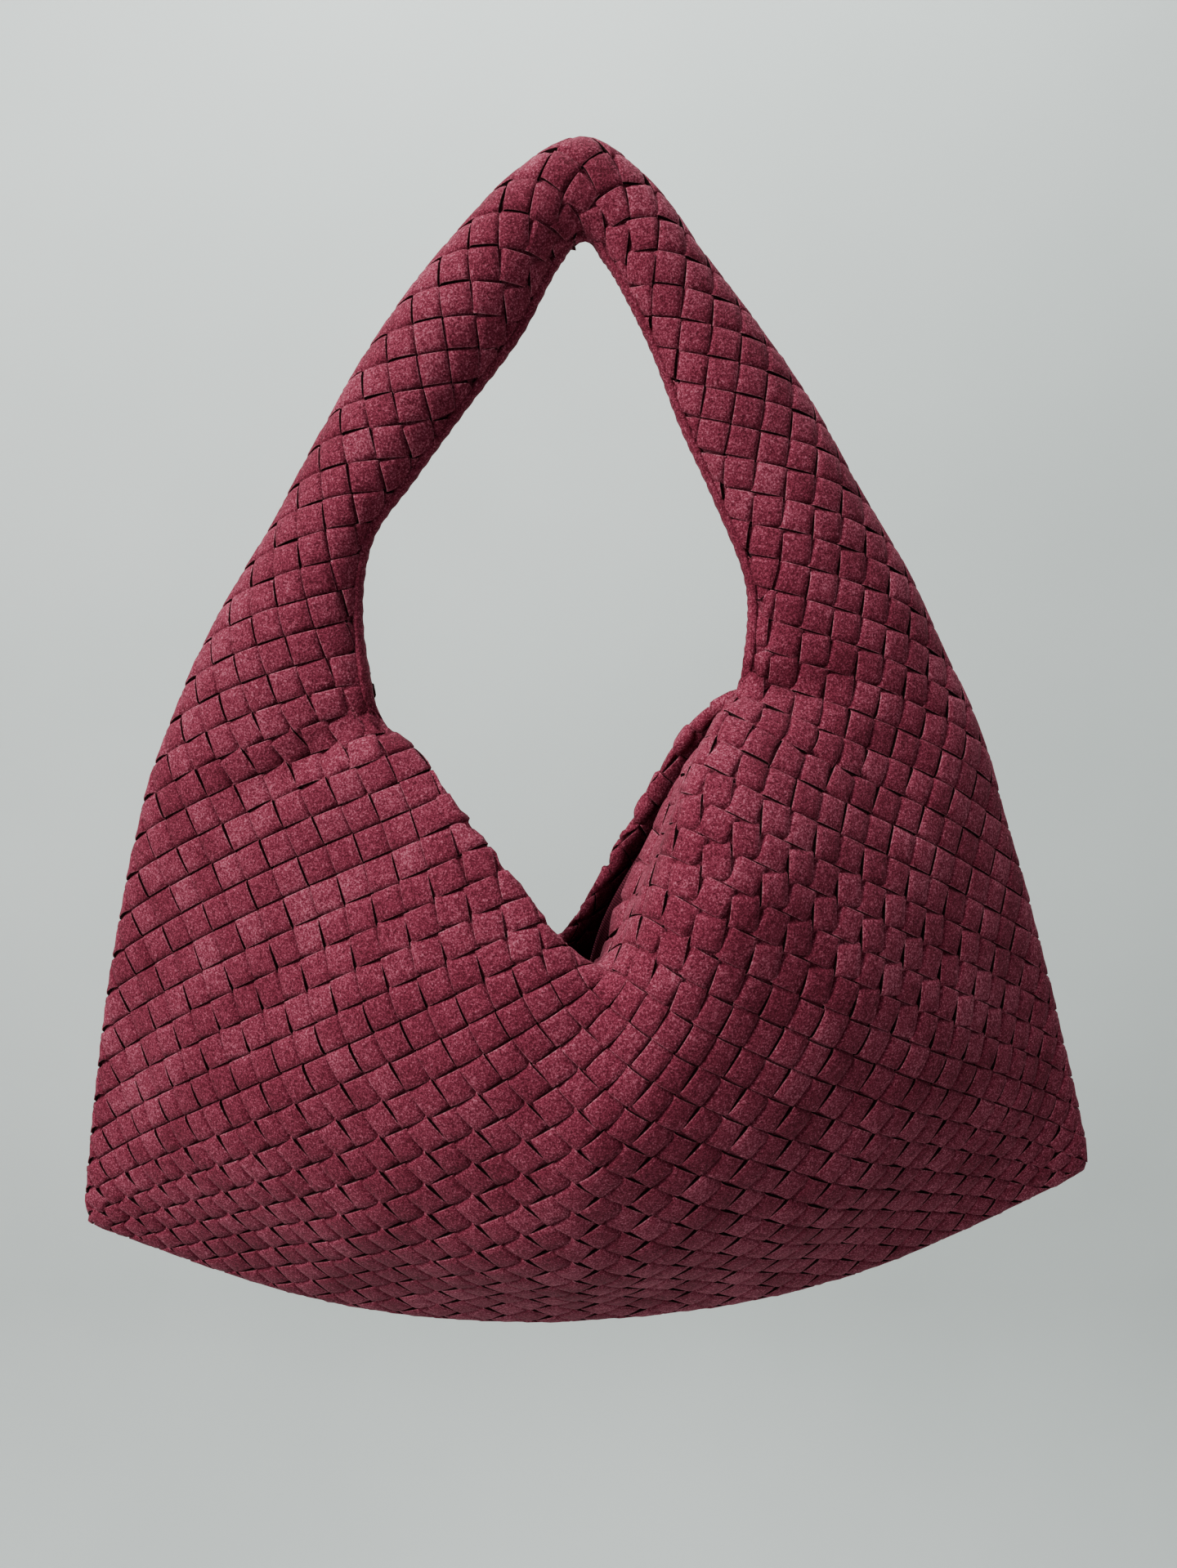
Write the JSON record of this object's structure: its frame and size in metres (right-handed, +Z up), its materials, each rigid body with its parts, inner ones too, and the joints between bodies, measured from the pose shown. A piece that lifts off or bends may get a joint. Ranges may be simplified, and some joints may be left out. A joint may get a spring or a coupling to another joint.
{
  "type": "hobo bag",
  "caption": "Slouchy shoulder bag of flat suede-like strips in plain weave: open-topped pouch whose sides run on into a tubular woven handle.",
  "frame": {"origin": "underside of the handle's crown, where the bag hangs on a peg or a shoulder", "axes": "+Z up along the hanging bag, +X to the right and -Y towards the viewer as the front is seen"},
  "size_m": [0.56, 0.1353, 0.6135],
  "materials": {
    "woven_suede_front": "brushed microsuede strips, matt with a soft sheen",
    "woven_suede_back": "brushed microsuede strips, matt with a soft sheen",
    "woven_suede_handle": "brushed microsuede strips, matt with a soft sheen",
    "mouth_facing": "plain matt microsuede tape",
    "seam_binding": "folded matt microsuede strip",
    "core_webbing": "plain woven polyester webbing"
  },
  "bodies": {
    "handle": {"handle_sleeve": "woven_suede_handle", "handle_core_webbing": "core_webbing", "left_handle_binding": "seam_binding", "right_handle_binding": "seam_binding"},
    "pouch": {"front_panel": "woven_suede_front", "back_panel": "woven_suede_back", "front_mouth_facing": "mouth_facing", "back_mouth_facing": "mouth_facing"}
  },
  "joints": [
    {"name": "handle_fold", "type": "hinge", "parent": "handle", "child": "pouch", "pos_m": [0, -0.02, -0.216], "axis": [1, 0, 0], "range_deg": [-75, 45]}
  ]
}
